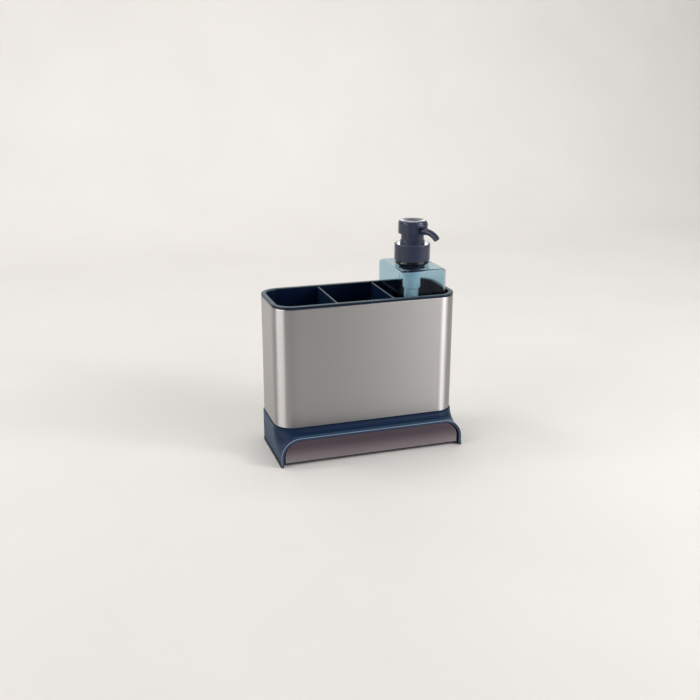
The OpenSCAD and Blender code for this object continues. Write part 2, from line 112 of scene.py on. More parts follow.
def finish(name, **plain):
    """A material, its shader with the sockets that don't vary, and its wire of object coordinates."""
    material = bpy.data.materials.new(name)
    material.use_nodes = True
    shader = material.node_tree.nodes["Principled BSDF"]
    for key, value in plain.items():
        shader.inputs[key.replace("_", " ")].default_value = value
    place = material.node_tree.nodes.new("ShaderNodeTexCoord")
    return material, shader, Wire(place.outputs["Object"])


def join(shader, **wires):
    """Links wires to the shader's sockets of the same names."""
    for key, wire in wires.items():
        shader.id_data.links.new(wire.socket, shader.inputs[key.replace("_", " ")])


def grain(place, stretch, scale, detail, rough=0.5):
    """Noise on object coordinates, drawn out along an axis by its stretch."""
    spot = place.node("ShaderNodeMapping", {}, {"Vector": place, "Scale": stretch})
    look = {"Vector": spot, "Scale": scale, "Detail": detail, "Roughness": rough}
    return place.node("ShaderNodeTexNoise", {}, look)


def blend(place, mask, low, high):
    """The low colour where the mask is 0 and the high one where it is 1."""
    return place.node("ShaderNodeMix", {"data_type": "RGBA"}, {0: mask, 6: low, 7: high}, output=2)


def bump(place, height, distance, strength):
    """A normal bent by a height between 0 and 1, whose full depth is the distance."""
    return place.node("ShaderNodeBump", {}, {"Height": height, "Distance": distance, "Strength": strength})


def part(place, axis):
    """One coordinate of a place."""
    return place.node("ShaderNodeSeparateXYZ", {}, {"Vector": place}, output="xyz".index(axis))


def ramp(wire, low, high, first=0.0, last=1.0, **settings):
    """Goes from first to last while the wire goes from low to high."""
    spans = {"Value": wire, "From Min": low, "From Max": high, "To Min": first, "To Max": last}
    return wire.node("ShaderNodeMapRange", settings, spans)


def moulding(name, low, high, rough, highlight_paint_mask=None, highlight_paint_colour=(0.22, 0.29, 0.39), grit=0.25, **plain):
    """Moulded plastic of two close shades, with fine pores, and painted highlights where the mask says."""
    material, shader, place = finish(name, **plain)
    clouds = grain(place, (1, 1, 1), 22, 3)
    pores = grain(place, (1, 1, 1), 2600, 2)
    scuffs = grain(place, (0.35, 1, 1), 900, 3)
    colour = blend(place, clouds * 0.6 + pores * 0.4, low, high)
    if highlight_paint_mask:
        colour = blend(place, highlight_paint_mask(place), colour, highlight_paint_colour)
    join(
        shader,
        Base_Color=colour,
        Roughness=clouds * 0.06 + scuffs * 0.05 + rough,
        Normal=bump(place, pores, 0.00004, grit),
    )
    return material


def painted_edge_highlights(place):
    """Painted highlights on the hood's lip and on the ends of the tub's ledge."""
    across = ramp(part(place, "y"), lip_front - 0.0001, lip_front + 0.0011)
    stops = [(0, 0.1), (0.09, 0.1), (0.2, 0.9), (0.6, 1), (0.85, 0), (1, 0)]
    lip = across.node("ShaderNodeValToRGB", {"stops": stops}, {"Fac": across})
    height = part(place, "z")
    ledge = ramp(height, base_top - 0.0009, base_top - 0.0003)
    below_steel = ramp(height, base_top + 0.0003, base_top + 0.0006, 1.0, 0.0)
    ends = ramp(abs(part(place, "x")), base_w / 2 - 0.0035, base_w / 2 - 0.0005)
    return lip + ledge * below_steel * ends * 0.15


# The hood's lip and the ends of the ledge are painted paler: painted highlights.
navy = moulding(
    "navy_moulding", (0.004, 0.013, 0.04), (0.007, 0.021, 0.055), 0.34, painted_edge_highlights,
    Specular_IOR_Level=0.12, Sheen_Weight=0.2, Sheen_Roughness=0.35, Sheen_Tint=(0.35, 0.7, 1, 1),
)


def piece(name, bm, body, material, stands_for, soften=0.0, steps=3, angle=38, wall=0.0):
    """A finished piece: normals out, smooth where it is round, its edges softened, riding on its body."""
    bmesh.ops.remove_doubles(bm, verts=bm.verts, dist=1e-6)
    bmesh.ops.delete(bm, geom=[e for e in bm.edges if not e.link_faces], context="EDGES")
    bmesh.ops.recalc_face_normals(bm, faces=bm.faces)
    mesh = bpy.data.meshes.new(name)
    bm.to_mesh(mesh)
    bm.free()
    mesh.materials.append(material)
    mesh.polygons.foreach_set("use_smooth", [True] * len(mesh.polygons))
    made = bpy.data.objects.new(name, mesh)
    scene.collection.objects.link(made)
    if soften:
        edge = made.modifiers.new("edges", "BEVEL")
        edge.width = soften
        edge.segments = steps
        edge.limit_method = "ANGLE"
        edge.angle_limit = math.radians(angle)
    else:
        mesh.set_sharp_from_angle(angle=math.radians(angle))
    if wall:
        shell = made.modifiers.new("wall", "SOLIDIFY")
        shell.thickness = wall
        shell.offset = -1
    made.modifiers.new("flats", "WEIGHTED_NORMAL").keep_sharp = True
    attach(made, body)
    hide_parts(stands_for)
    return made


def rounding(inset, z, across, up, degrees):
    """Insets and heights on a quarter of an ellipse, from an upright wall at z to a level face."""
    angles = [math.radians(d) for d in degrees]
    return [(inset + across * (1 - math.cos(a)), z + up * math.sin(a)) for a in angles]


def strip(bm, columns, rows, spot):
    """A sheet of columns by rows, each point of it put where spot says."""
    made = bmesh.ops.create_grid(bm, x_segments=columns, y_segments=rows, size=0.5)["verts"]
    for i, vert in enumerate(made):
        vert.co = spot(i % (columns + 1), i // (columns + 1))


def hood_station(side, turn, foot):
    """One section of the hood, from inside the tub's top edge over the lip and back through the mouth."""
    c, s = math.cos(turn), math.sin(turn)
    proud, tucked = base_r + hood_proud, base_r - hood_tuck
    lip_x, centre_z = base_w / 2 + hood_proud - lip_r, lip_z - lip_r
    top = Vector((side * (corner_x + proud * c), corner_y - proud * s, base_top - top_edge_r))
    edge = Vector((side * (lip_x + lip_r * c), lip_front + lip_round, centre_z + lip_r * s))
    points = [Vector((side * (corner_x + tucked * c), corner_y - tucked * s, base_top - hood_drop))]
    for j in range(cove_steps + 1):
        t = j / cove_steps * math.pi / 2
        points.append(Vector((
            top.x + (edge.x - top.x) * (1 - math.cos(t)),
            top.y + (edge.y - top.y) * (1 - math.cos(t)),
            edge.z + (top.z - edge.z) * (1 - math.sin(t)) - cove_hollow * s * s * math.sin(2 * t) ** 2,
        )))
    for j in range(1, lip_steps + 1):
        t = j / lip_steps * math.pi / 2
        r = lip_r - lip_round * (1 - math.cos(t))
        y = lip_front + lip_round * (1 - math.sin(t))
        points.append(Vector((side * (lip_x + r * c), y, centre_z + r * s)))
    for j in range(mouth_steps + 1):
        t = j / mouth_steps * math.pi / 2
        r = mouth_r + mouth_round * (1 - math.sin(t))
        y = lip_front + mouth_round * (1 - math.cos(t))
        points.append(Vector((side * (mouth_x + r * c), y, mouth_z + r * s)))
    inner_y = corner_y - (base_r - shell_t) * s
    points.append(Vector((side * (mouth_x + mouth_r * c), inner_y, mouth_z + mouth_r * s)))
    points.append(points[0].copy())
    if foot:
        for point in points:
            point.z = base_foot
    return points


round_corner = [i / turns * math.pi / 2 for i in range(turns + 1)]
stations = [hood_station(-1, 0, True)] + [hood_station(-1, t, False) for t in round_corner]
stations += [hood_station(1, t, False) for t in reversed(round_corner)] + [hood_station(1, 0, True)]
bm = bmesh.new()
strip(bm, len(stations) - 1, len(stations[0]) - 1, lambda i, j: stations[i][j])
bmesh.ops.remove_doubles(bm, verts=bm.verts, dist=1e-6)
bmesh.ops.holes_fill(bm, edges=[e for e in bm.edges if e.is_boundary])

# Insets from the tub's outline, and heights: the groove under the steel, the top edge, the wall down to its
# end, whose height changes along the outline, and back inside it to the ledge and the low collar
section = [(groove_in, ledge_z), (groove_in, base_top)]
section += rounding(0, base_top - top_edge_r, top_edge_r, top_edge_r, (90, 67.5, 45, 22.5, 0))
section += [
    (0, None), (shell_t, None), (shell_t, ledge_under), (ledge_in, ledge_under), (ledge_in, ledge_z),
    (locator_in, ledge_z), (locator_in, locator_top - 0.0003), (0.0035, locator_top), (0.0022, locator_top),
    (locator_out, locator_top - 0.0003), (locator_out, ledge_z), (groove_in, ledge_z),
]


def tub_point(i, j):
    """A point of the tub, i steps round its outline and j steps along its section."""
    corner, t = divmod(i, turns + 1)
    corner %= 4
    turn = math.pi / 2 * (corner + t / turns) - math.pi / 2
    side, depth = (1, -1)[corner in (2, 3)], (1, -1)[corner in (0, 3)]
    inset, z = section[j]
    r = base_r - inset
    x = side * corner_x + r * math.cos(turn)
    y = sleeve_y + depth * (base_d / 2 - base_r) + r * math.sin(turn)
    if z is None:
        z = base_foot
        if depth < 0 and abs(x) < mouth_x + mouth_r - mouth_margin:
            over = max(0.0, abs(x) - mouth_x)
            z = mouth_z + math.sqrt(mouth_r ** 2 - over ** 2)
    return Vector((x, y, z))


strip(bm, 4 * (turns + 1), len(section) - 1, tub_point)
piece("base_moulding", bm, "stand", navy, "base_shell", angle=50)


# Feet. Thermoplastic rubber strips pressed under the side walls, with a bead that shows along the sides,
# and a plain strip pressed under the back wall.
foot_in, foot_out, bead_in, bead_top = 0.0938, 0.0967, 0.0949, 0.004
foot_front, foot_back, foot_soft = -0.0481, 0.0275, 0.0005
rear_half, rear_front, rear_back = 0.0595, 0.0425, 0.0478

rubber, shader, place = finish("foot_rubber", Specular_IOR_Level=0.3)
dust = grain(place, (1, 1, 1), 400, 4)
join(
    shader,
    Base_Color=blend(place, dust, (0.006, 0.011, 0.02), (0.014, 0.022, 0.036)),
    Roughness=dust * 0.25 + 0.5,
    Normal=bump(place, dust, 0.0001, 0.5),
)


def draw(bm, faces, vec=(0, 0, 0)):
    """Extrudes faces along a vector, and returns the drawn ones."""
    drawn = bmesh.ops.extrude_face_region(bm, geom=faces)["geom"]
    bmesh.ops.translate(bm, verts=[v for v in drawn if isinstance(v, bmesh.types.BMVert)], vec=vec)
    return [f for f in drawn if isinstance(f, bmesh.types.BMFace)]


def bar(bm, outline, front, back):
    """An outline in X and Z, drawn out along Y."""
    draw(bm, [bm.faces.new([bm.verts.new((x, front, z)) for x, z in outline])], (0, back - front, 0))


foot_outline = [
    (foot_in, 0), (foot_out, 0), (foot_out, bead_top), (bead_in, bead_top), (bead_in, base_foot),
    (foot_in, base_foot),
]
for side, name in ((1, "right"), (-1, "left")):
    bm = bmesh.new()
    bar(bm, [(side * x, z) for x, z in foot_outline], foot_front, foot_back)
    piece(f"foot_strip_{name}", bm, "stand", rubber, f"foot_{name}", soften=foot_soft)
bm = bmesh.new()
rear_outline = [(-rear_half, 0), (rear_half, 0), (rear_half, bead_top), (-rear_half, bead_top)]
bar(bm, rear_outline, rear_front, rear_back)
piece("foot_strip_rear", bm, "stand", rubber, "foot_rear", soften=foot_soft)


# Sleeve. Stainless sheet, 0.8 mm thick, bent to a rounded rectangle, welded at the back and brushed along
# its girth. Its top edge is turned in a little. It stands on the base and carries the bin's rim.
sleeve_w, sleeve_d, sleeve_r = 0.19, 0.08, 0.02
sleeve_low, sleeve_high, steel_t = 0.0344, 0.156, 0.0008
turned_in, turned_down = 0.0007, 0.0013


def steel(name, along, low, high, rough=0.33, spread=0.97, shade=None):
    """Brushed sheet steel, its grain drawn out by a stretch. A shade is a height and the tone it has there."""
    material, shader, place = finish(name, Metallic=1.0, Anisotropic=spread, Anisotropic_Rotation=0.25)
    hairs = grain(place, along, 3200, 3, 0.6)
    lines = grain(place, along, 900, 3, 0.6)
    haze = grain(place, (1, 1, 0.5), 9, 3)
    colour = blend(place, hairs * 0.55 + lines * 0.3 + haze * 0.15, low, high)
    if shade:
        top, tone = shade
        rise = ramp(part(place, "z"), 0.0, top, interpolation_type="SMOOTHSTEP")
        colour = blend(place, rise, colour, tone)
    join(
        shader,
        Base_Color=colour,
        Roughness=lines * 0.07 + haze * 0.05 + rough,
        Normal=bump(place, hairs * 0.7 + lines * 0.3, 0.00002, 0.4),
    )
    return material


def outline(bm, w, d, r, z, steps, long_cuts=0, centre=(0, sleeve_y)):
    """A rounded rectangle as one face, in an empty mesh, its straight sides cut if that is asked."""
    corners = bmesh.ops.create_grid(bm, x_segments=1, y_segments=1, size=0.5)["verts"]
    bmesh.ops.scale(bm, vec=(w, d, 1), verts=corners)
    bmesh.ops.translate(bm, vec=(*centre, z), verts=corners)
    bmesh.ops.bevel(
        bm, geom=corners, offset=r, offset_type="OFFSET", segments=steps, profile=0.5, affect="VERTICES",
        material=-1,
    )
    if long_cuts:
        straight = [e for e in bm.edges if e.calc_length() > 1.5 * r]
        bmesh.ops.subdivide_edges(bm, edges=straight, cuts=long_cuts)
    return bm.faces[:][0]


def lengthen(bm, face, vec=(0, 0, 0)):
    """Draws a face out and takes away the old one, so that a tube goes on, and returns the new one."""
    new = draw(bm, [face], vec)[0]
    bm.faces.remove(face)
    return new


def raise_wall(bm, face, w, d, r, profile, centre=(0, sleeve_y)):
    """Draws a rounded face through a profile of insets and heights, and returns its last face."""
    core = (w / 2 - r, d / 2 - r)
    for inset, z in profile:
        face = lengthen(bm, face)
        for vert in face.verts:
            x, y = vert.co.x - centre[0], vert.co.y - centre[1]
            near = Vector((max(-core[0], min(core[0], x)), max(-core[1], min(core[1], y))))
            out = (Vector((x, y)) - near).normalized() * (r - inset)
            vert.co = (centre[0] + near.x + out.x, centre[1] + near.y + out.y, z)
    return face


brushed = steel("brushed_sleeve", (0.012, 0.012, 1), (0.4, 0.39, 0.387), (0.502, 0.491, 0.486))
bm = bmesh.new()
face = outline(bm, sleeve_w, sleeve_d, sleeve_r, sleeve_low, steps=20)
last = raise_wall(bm, face, sleeve_w, sleeve_d, sleeve_r, [
    *rounding(0, sleeve_high - turned_down, turned_in, turned_down, range(0, 91, 15)),
    (steel_t, sleeve_high), (steel_t, sleeve_low), (0, sleeve_low),
])
bm.faces.remove(last)
piece("steel_tube", bm, "stand", brushed, "steel_sleeve", angle=50)


# Bin. Navy moulding that drops into the steel and hangs by a 5 mm rim, with two thin dividers
# and three drain slots in the floor of each compartment. Its navy is painted darker as painted shade,
# and its level tops are painted paler as painted highlights.
rim_w, rim_top = 0.005, 0.1587
opening_w, opening_d = sleeve_w - 2 * rim_w, sleeve_d - 2 * rim_w
body_in, bin_foot, bin_floor, plate_in, plate_up = 0.0032, 0.0364, 0.0384, 0.0036, 0.0001
divider_xs, divider_t, divider_low, divider_top = (-0.0315, 0.0279), 0.0018, 0.0375, 0.1578
divider_tuck, divider_round = 0.0005, 0.0007
slot_w, slot_l = 0.005, 0.0434


def painted_top_highlights(place):
    """Painted highlights on the level tops of the rim and of the dividers."""
    x, y, z = (part(place, axis) for axis in "xyz")
    rim = ramp(z, rim_top - 0.0005, rim_top - 0.0002)
    divider = ramp(z, divider_top - 0.0006, divider_top - 0.0003)
    across = abs(y - sleeve_y) < opening_d / 2 - 0.0002
    along = abs(x) < opening_w / 2 - 0.0005
    return rim + divider * across * along * 1.6


# The base's navy painted darker, as painted shade for the inside of the bin and the tray under the hood.
navy_painted_darker = moulding(
    "deep_navy_moulding", (0.001, 0.005, 0.02), (0.003, 0.01, 0.031), 0.24, painted_top_highlights, (0.038, 0.07, 0.085),
    Specular_IOR_Level=0.2, Sheen_Weight=0.05, Sheen_Roughness=0.3, Sheen_Tint=(0.4, 0.7, 1, 1),
)


def edges_among(bm, verts, test):
    """The edges that join those of the vertices for which the test holds."""
    chosen = {v for v in verts if test(v)}
    return [e for e in bm.edges if e.verts[0] in chosen and e.verts[1] in chosen]


# The wall inside the steel, the shoulder that centres it, the rim over the steel's edge, and the inside
bin_section = [
    (body_in, 0.152), (0.0011, 0.1526), (0.0011, 0.156), (0.0006, 0.1561), (0.0002, 0.1563), (0, 0.1567),
    (0, 0.1577), (0.0001, 0.15815), (0.0004, 0.1585), (0.0009, rim_top), (0.0041, rim_top), (0.0046, 0.1585),
    (0.0049, 0.15815), (rim_w, 0.1577), (rim_w, bin_foot), (body_in, bin_foot),
]
bm = bmesh.new()
face = outline(bm, sleeve_w - 2 * body_in, sleeve_d - 2 * body_in, sleeve_r - body_in, bin_foot, steps=16)
last = raise_wall(bm, face, sleeve_w, sleeve_d, sleeve_r, bin_section)
bm.faces.remove(last)

bays = (-opening_w / 2, *divider_xs, opening_w / 2)
slot_xs = [low + (high - low) * i / 4 for low, high in zip(bays, bays[1:]) for i in (1, 2, 3)]
plate = bmesh.new()
plate_low = bin_foot + plate_up
outline(plate, sleeve_w - 2 * plate_in, sleeve_d - 2 * plate_in, sleeve_r - plate_in, plate_low, steps=16)
cuts = [((x + s * slot_w / 2, 0, 0), (1, 0, 0)) for x in slot_xs for s in (-1, 1)]
cuts += [((0, sleeve_y + s * slot_l / 2, 0), (0, 1, 0)) for s in (-1, 1)]
for spot, normal in cuts:
    whole = plate.verts[:] + plate.edges[:] + plate.faces[:]
    bmesh.ops.bisect_plane(plate, geom=whole, plane_co=spot, plane_no=normal, dist=1e-7)
holes = []
for f in plate.faces:
    spot = f.calc_center_median()
    if abs(spot.y - sleeve_y) < slot_l / 2 and min(abs(spot.x - x) for x in slot_xs) < slot_w / 2:
        holes.append(f)
bmesh.ops.delete(plate, geom=holes, context="FACES")
draw(plate, plate.faces[:], (0, 0, bin_floor - plate_low))
plate_mesh = bpy.data.meshes.new("floor")
plate.to_mesh(plate_mesh)
plate.free()
bm.from_mesh(plate_mesh)
bpy.data.meshes.remove(plate_mesh)

divider_size = (divider_t, opening_d + 2 * divider_tuck, divider_top - divider_low)
for x in divider_xs:
    sheet = bmesh.ops.create_cube(bm, size=1)["verts"]
    bmesh.ops.scale(bm, vec=divider_size, verts=sheet)
    bmesh.ops.translate(bm, vec=(x, sleeve_y, (divider_top + divider_low) / 2), verts=sheet)
    top = edges_among(bm, sheet, lambda v: v.co.z > rim_top / 2)
    long_edges = [e for e in top if e.calc_length() > opening_d / 2]
    bmesh.ops.bevel(
        bm, geom=long_edges, offset=divider_round, offset_type="OFFSET", segments=5, profile=0.5,
        affect="EDGES", material=-1,
    )
piece("bin_moulding", bm, "bin", navy_painted_darker, "insert_bin", angle=50)


# Drip tray. Shallow navy pan that slides in under the hood. Its upright front closes the hood's mouth
# and carries a glued plate of brushed steel, darker where the hood shades it.
pan_w, pan_back, pan_r, pan_low, pan_high, pan_t = 0.185, 0.0443, 0.0168, 0.0042, 0.0131, 0.0016
front_w, front_r, front_low, front_top = 0.1868, 0.0168, 0.0026, 0.0268
facing_w, facing_r, facing_low, facing_top = 0.1834, 0.0155, 0.0038, 0.026
facing_face, front_face, front_back = -0.0462, -0.0454, -0.0434


def panel(bm, corners, rounded, r, steps, vec):
    """A flat panel, rounded at the corners for which the test holds, drawn out along a vector."""
    before = set(bm.verts)
    face = bm.faces.new([bm.verts.new(corner) for corner in corners])
    bmesh.ops.bevel(
        bm, geom=[v for v in face.verts if rounded(v.co)], offset=r, offset_type="OFFSET", segments=steps,
        profile=0.5, affect="VERTICES", material=-1,
    )
    face = [f for f in bm.faces if not before.intersection(f.verts)][0]
    return draw(bm, [face], vec)


def arch(bm, w, r, low, top, front, back):
    """An upright panel with two round top corners."""
    corners = [(-w / 2, front, low), (w / 2, front, low), (w / 2, front, top), (-w / 2, front, top)]
    panel(bm, corners, lambda co: co.z > top / 2, r, 16, (0, back - front, 0))


bm = bmesh.new()
arch(bm, front_w, front_r, front_low, front_top, front_face, front_back)
pan_corners = [
    (-pan_w / 2, front_back, pan_low), (pan_w / 2, front_back, pan_low),
    (pan_w / 2, pan_back, pan_low), (-pan_w / 2, pan_back, pan_low),
]
hollow = panel(bm, pan_corners, lambda co: co.y > 0, pan_r, 12, (0, 0, pan_high - pan_low))
bmesh.ops.inset_region(bm, faces=hollow, thickness=pan_t, use_even_offset=True)
bmesh.ops.translate(bm, verts=hollow[0].verts, vec=(0, 0, pan_low + pan_t - pan_high))
# The pan takes the navy painted darker: painted shade under the hood.
piece("tray_moulding", bm, "tray", navy_painted_darker, "drip_tray", soften=0.0004)

# The plate's colour is painted darker towards its top: painted shade under the hood.
brushed_plate = steel(
    "brushed_plate", (0.012, 1, 1), (0.3, 0.265, 0.285), (0.37, 0.33, 0.35), rough=0.17, spread=0.6,
    shade=(0.021, (0.1, 0.08, 0.1)),
)
bm = bmesh.new()
arch(bm, facing_w, facing_r, facing_low, facing_top, facing_face, front_face)
piece("tray_plate", bm, "tray", brushed_plate, "tray_front_plate", soften=0.00025)


# Bottle. Blown clear bottle, tinted light blue, with a recessed base, rounded shoulders and a neck with
# two rings for its thread. It stands in the right-hand compartment and is empty.
pump_x = 0.05865
bottle_w, bottle_d, bottle_r = 0.05, 0.066, 0.0045
bottle_low, foot_round, bottle_t = 0.03845, 0.0017, 0.001
recess_in, recess_up = 0.0036, 0.001
shoulder_z, shoulder_r = 0.1836, 0.003
neck_r, neck_top, thread_r = 0.0154, 0.2004, 0.0162

clear, shader, place = finish("clear_blue", IOR=1.22, Transmission_Weight=1.0, Specular_IOR_Level=0.1)
ripple = grain(place, (1, 1, 0.4), 60, 2)
film = grain(place, (1, 1, 1), 30, 3)
join(
    shader,
    Base_Color=blend(place, film, (0.575, 0.725, 0.8), (0.61, 0.755, 0.825)),
    Roughness=film * 0.03 + 0.01,
    Normal=bump(place, ripple, 0.0001, 0.3),
)

bm = bmesh.new()
pump_at = (pump_x, sleeve_y)
recess_size = (bottle_w - 2 * recess_in, bottle_d - 2 * recess_in, bottle_r - recess_in)
face = outline(bm, *recess_size, bottle_low + recess_up, steps=10, long_cuts=7, centre=pump_at)
bmesh.ops.duplicate(bm, geom=[face])
body = [(0.0033, bottle_low + 0.0008), (0.003, bottle_low + 0.0003), (0.0027, bottle_low)]
body += [(foot_round, bottle_low)]
body += rounding(0, bottle_low + foot_round, foot_round, -foot_round, (68, 45, 22, 0))
body += [(0, z) for z in (0.07, 0.11, 0.15)]
body += rounding(0, shoulder_z - shoulder_r, shoulder_r, shoulder_r, range(0, 91, 10))
top = raise_wall(bm, face, bottle_w, bottle_d, bottle_r, body, centre=pump_at)

# Radii and heights of the neck: its flared root, two rings for the thread, and its mouth
flare = [(0.0014, 0), (0.0008, 0.00014), (0.0003, 0.0006), (0.00005, 0.0013), (0, 0.0022)]
ring_zs = (0.193, 0.197)
ring_section = [(neck_r, -0.0002), (thread_r, 0.0002), (thread_r, 0.0013), (neck_r, 0.0017)]
neck = [(neck_r + out, shoulder_z + up) for out, up in flare]
neck += [(r, ring_z + up) for ring_z in ring_zs for r, up in ring_section]
neck += [(neck_r, neck_top)]
for r, z in neck:
    top = lengthen(bm, top)
    for vert in top.verts:
        out = Vector((vert.co.x - pump_x, vert.co.y - sleeve_y)).normalized() * r
        vert.co = (pump_x + out.x, sleeve_y + out.y, z)
bm.faces.remove(top)
piece("bottle_blown", bm, "bottle_body", clear, "bottle", angle=60, wall=bottle_t)


# Pump housing, dip tube and inlet. Cloudy light blue polypropylene, seen through the bottle:
# a cup that the guide ring grips, a barrel with a groove, a narrower well and a long straight tube.
cup_r, cup_bore, cup_top = 0.009, 0.0078, 0.1815
barrel_r, barrel_bore, groove_r = 0.0071, 0.0061, 0.0067
well_r, tube_r, tube_bore, tube_foot, tube_top = 0.0044, 0.0032, 0.0023, 0.0435, 0.1222


def lathe(bm, profile, steps=96):
    """A closed outline of radii and heights, turned about the pump's axis."""
    ring = [bm.verts.new((pump_x + r, sleeve_y, z)) for r, z in profile]
    loop = [bm.edges.new((a, b)) for a, b in zip(ring, ring[1:] + ring[:1])]
    bmesh.ops.spin(
        bm, geom=ring + loop, cent=(pump_x, sleeve_y, 0), axis=(0, 0, 1), angle=2 * math.pi, steps=steps,
        use_merge=True,
    )


cloudy, shader, place = finish("cloudy_blue", Specular_IOR_Level=0.5)
milk = grain(place, (1, 1, 1), 120, 3)
join(
    shader,
    Base_Color=blend(place, milk, (0.74, 0.87, 0.93), (0.82, 0.93, 0.97)),
    Roughness=milk * 0.15 + 0.28,
    Normal=bump(place, milk, 0.0001, 0.3),
)
bm = bmesh.new()
lathe(bm, [
    (cup_bore, cup_top), (cup_bore, 0.1606), (barrel_bore, 0.1592), (barrel_bore, 0.1342), (0.003, 0.1312),
    (0.003, 0.1277), (tube_r, tube_top), (0.0033, 0.1102), (well_r, 0.1102), (well_r, 0.1272),
    (barrel_r, 0.1322), (barrel_r, 0.1572), (groove_r, 0.1576), (groove_r, 0.1589), (cup_r, 0.1593),
    (cup_r, cup_top),
])
piece("pump_barrel", bm, "pump_body", cloudy, "pump_housing", soften=0.0003)
bm = bmesh.new()
tube = [(tube_r, tube_foot), (tube_r, tube_top), (tube_bore, tube_top), (tube_bore, tube_foot)]
lathe(bm, tube, steps=48)
piece("dip_pipe", bm, "pump_body", cloudy, "dip_tube", soften=0.0002)


# Closure. Slate blue polypropylene: a screw collar that clamps the pump on the neck, with a recessed skirt
# down to the bottle's shoulder, its near-black colour painted shade, and the guide ring. That rises through
# the collar round the skirt of the head, and reaches down inside the neck as a cup that holds the barrel.
collar_r, collar_top, collar_edge = 0.0183, 0.205, 0.0008
deck_z, collar_bore, collar_mouth = 0.2032, 0.01655, 0.01275
skirt_foot, skirt_top, skirt_r = 0.1844, 0.1881, 0.0169
guide_r, guide_bore, guide_top = 0.01267, 0.0118, 0.2087
guide_edge_in, guide_edge_down = 0.00077, 0.0008
guide_cup_r, guide_cup_low, stem_bore = 0.0137, 0.1793, 0.00408
edge_degrees = (0, 22.5, 45, 67.5, 90)

slate = moulding(
    "slate_moulding", (0.025, 0.03, 0.058), (0.033, 0.039, 0.073), 0.02, grit=0.06,
    Specular_IOR_Level=0.3, Sheen_Weight=0.2, Sheen_Roughness=0.3, Sheen_Tint=(0.5, 0.8, 1, 1),
)
# A near-black copy of the slate: painted shade for the recessed skirt under the collar.
skirt_shade_paint = moulding("painted_shade_skirt", (0.002, 0.003, 0.007), (0.003, 0.004, 0.009), 0.1, Specular_IOR_Level=0.4)


def rounded_top(r, top, across, down):
    """Radii and heights from a round wall over its top edge."""
    return [(r - inset, z) for inset, z in rounding(0, top - down, across, down, edge_degrees)]


bm = bmesh.new()
lathe(bm, [
    (0.0173, 0.188), (collar_r, 0.1886), *rounded_top(collar_r, collar_top, collar_edge, collar_edge),
    (collar_mouth, collar_top), (collar_mouth, deck_z), (collar_bore, deck_z), (collar_bore, skirt_foot),
    (skirt_r, skirt_foot), (0.0177, 0.1856), (0.0177, 0.1862), (0.0171, 0.1869), (skirt_r, 0.188),
], steps=128)
made = piece(
    "collar_moulding", bm, "collar", slate, "closure_collar",
    soften=0.0005, steps=4, angle=25,
)
# The skirt's faces below its top take the near-black copy: painted shade.
made.data.materials.append(skirt_shade_paint)
for f in made.data.polygons:
    if f.center.z < skirt_top:
        f.material_index = 1

bm = bmesh.new()
lathe(bm, [
    (guide_bore, 0.1827), (guide_bore, guide_top),
    *reversed(rounded_top(guide_r, guide_top, guide_edge_in, guide_edge_down)),
    (guide_r, deck_z), (0.0152, deck_z), (0.0152, 0.2012), (guide_cup_r, 0.2012),
    (guide_cup_r, guide_cup_low), (0.0098, 0.1776), (0.00903, 0.1776), (0.00903, cup_top),
    (0.00775, cup_top), (0.00775, 0.18), (stem_bore, 0.18), (stem_bore, 0.1827),
])
piece("guide_ring", bm, "pump_body", slate, "lock_ring", soften=0.0003)


# Head. Slate blue polypropylene: an inner moulding with a skirt, a stem socket and a spout that bends down
# over the bin, and an outer cover with a shallow dish for the finger and a brow over the spout's notch.
skirt_bore, head_skirt_r, head_low, head_top, cover_seat = 0.0102, 0.0117, 0.206, 0.2261, 0.2245
socket_bore, socket_r, socket_low, socket_top = 0.0041, 0.0056, 0.20825, 0.2162
spout_turn = math.radians(-60)
spout_r, bore_r, bore_depth, spout_z, spout_start = 0.00315, 0.0019, 0.006, 0.21875, 0.0052
bend_start, bend_r, bend_angle, bend_steps, spout_end = 0.01704, 0.01853, math.radians(45), 20, 0.0015
boss_inner_r, boss_outer_r, boss_l, boss_round = 0.0042, 0.0036, 0.0072, 0.0005
boss_z, boss_out = 0.21905, 0.0146

along = Vector((math.cos(spout_turn), math.sin(spout_turn), 0))
across = Vector((math.sin(spout_turn), -math.cos(spout_turn), 0))
turned = Matrix((across, (0, 0, 1), along)).transposed().to_4x4()


def on_spout(out, z):
    """A place above the spout's line, so far out from the pump's axis."""
    return Vector((pump_x, sleeve_y, z)) + along * out


bm = bmesh.new()
lathe(bm, [
    (socket_bore, socket_low), (socket_r, socket_low), (socket_r, cover_seat), (skirt_bore, cover_seat),
    (skirt_bore, head_low), (head_skirt_r, head_low), (head_skirt_r, head_top), (0, head_top),
    (0, socket_top), (socket_bore, socket_top),
])
start = Matrix.Translation(on_spout(spout_start, spout_z)) @ turned
ring = bmesh.ops.create_circle(bm, cap_ends=True, radius=spout_r, segments=40, matrix=start)["verts"]
tip = [f for f in ring[0].link_faces if len(f.verts) == 40][0]
bmesh.ops.duplicate(bm, geom=[tip])
tip = lengthen(bm, tip, along * (bend_start - spout_start))
hinge = on_spout(bend_start, spout_z - bend_r)
bend = Matrix.Rotation(bend_angle / bend_steps, 3, along.cross(Vector((0, 0, -1))))
for i in range(bend_steps):
    tip = lengthen(bm, tip)
    bmesh.ops.rotate(bm, cent=hinge, matrix=bend, verts=tip.verts[:])
down = (along - Vector((0, 0, 1))).normalized()
tip = lengthen(bm, tip, down * spout_end)
bmesh.ops.inset_region(bm, faces=[tip], thickness=spout_r - bore_r, use_even_offset=True)
lengthen(bm, tip, -down * bore_depth)

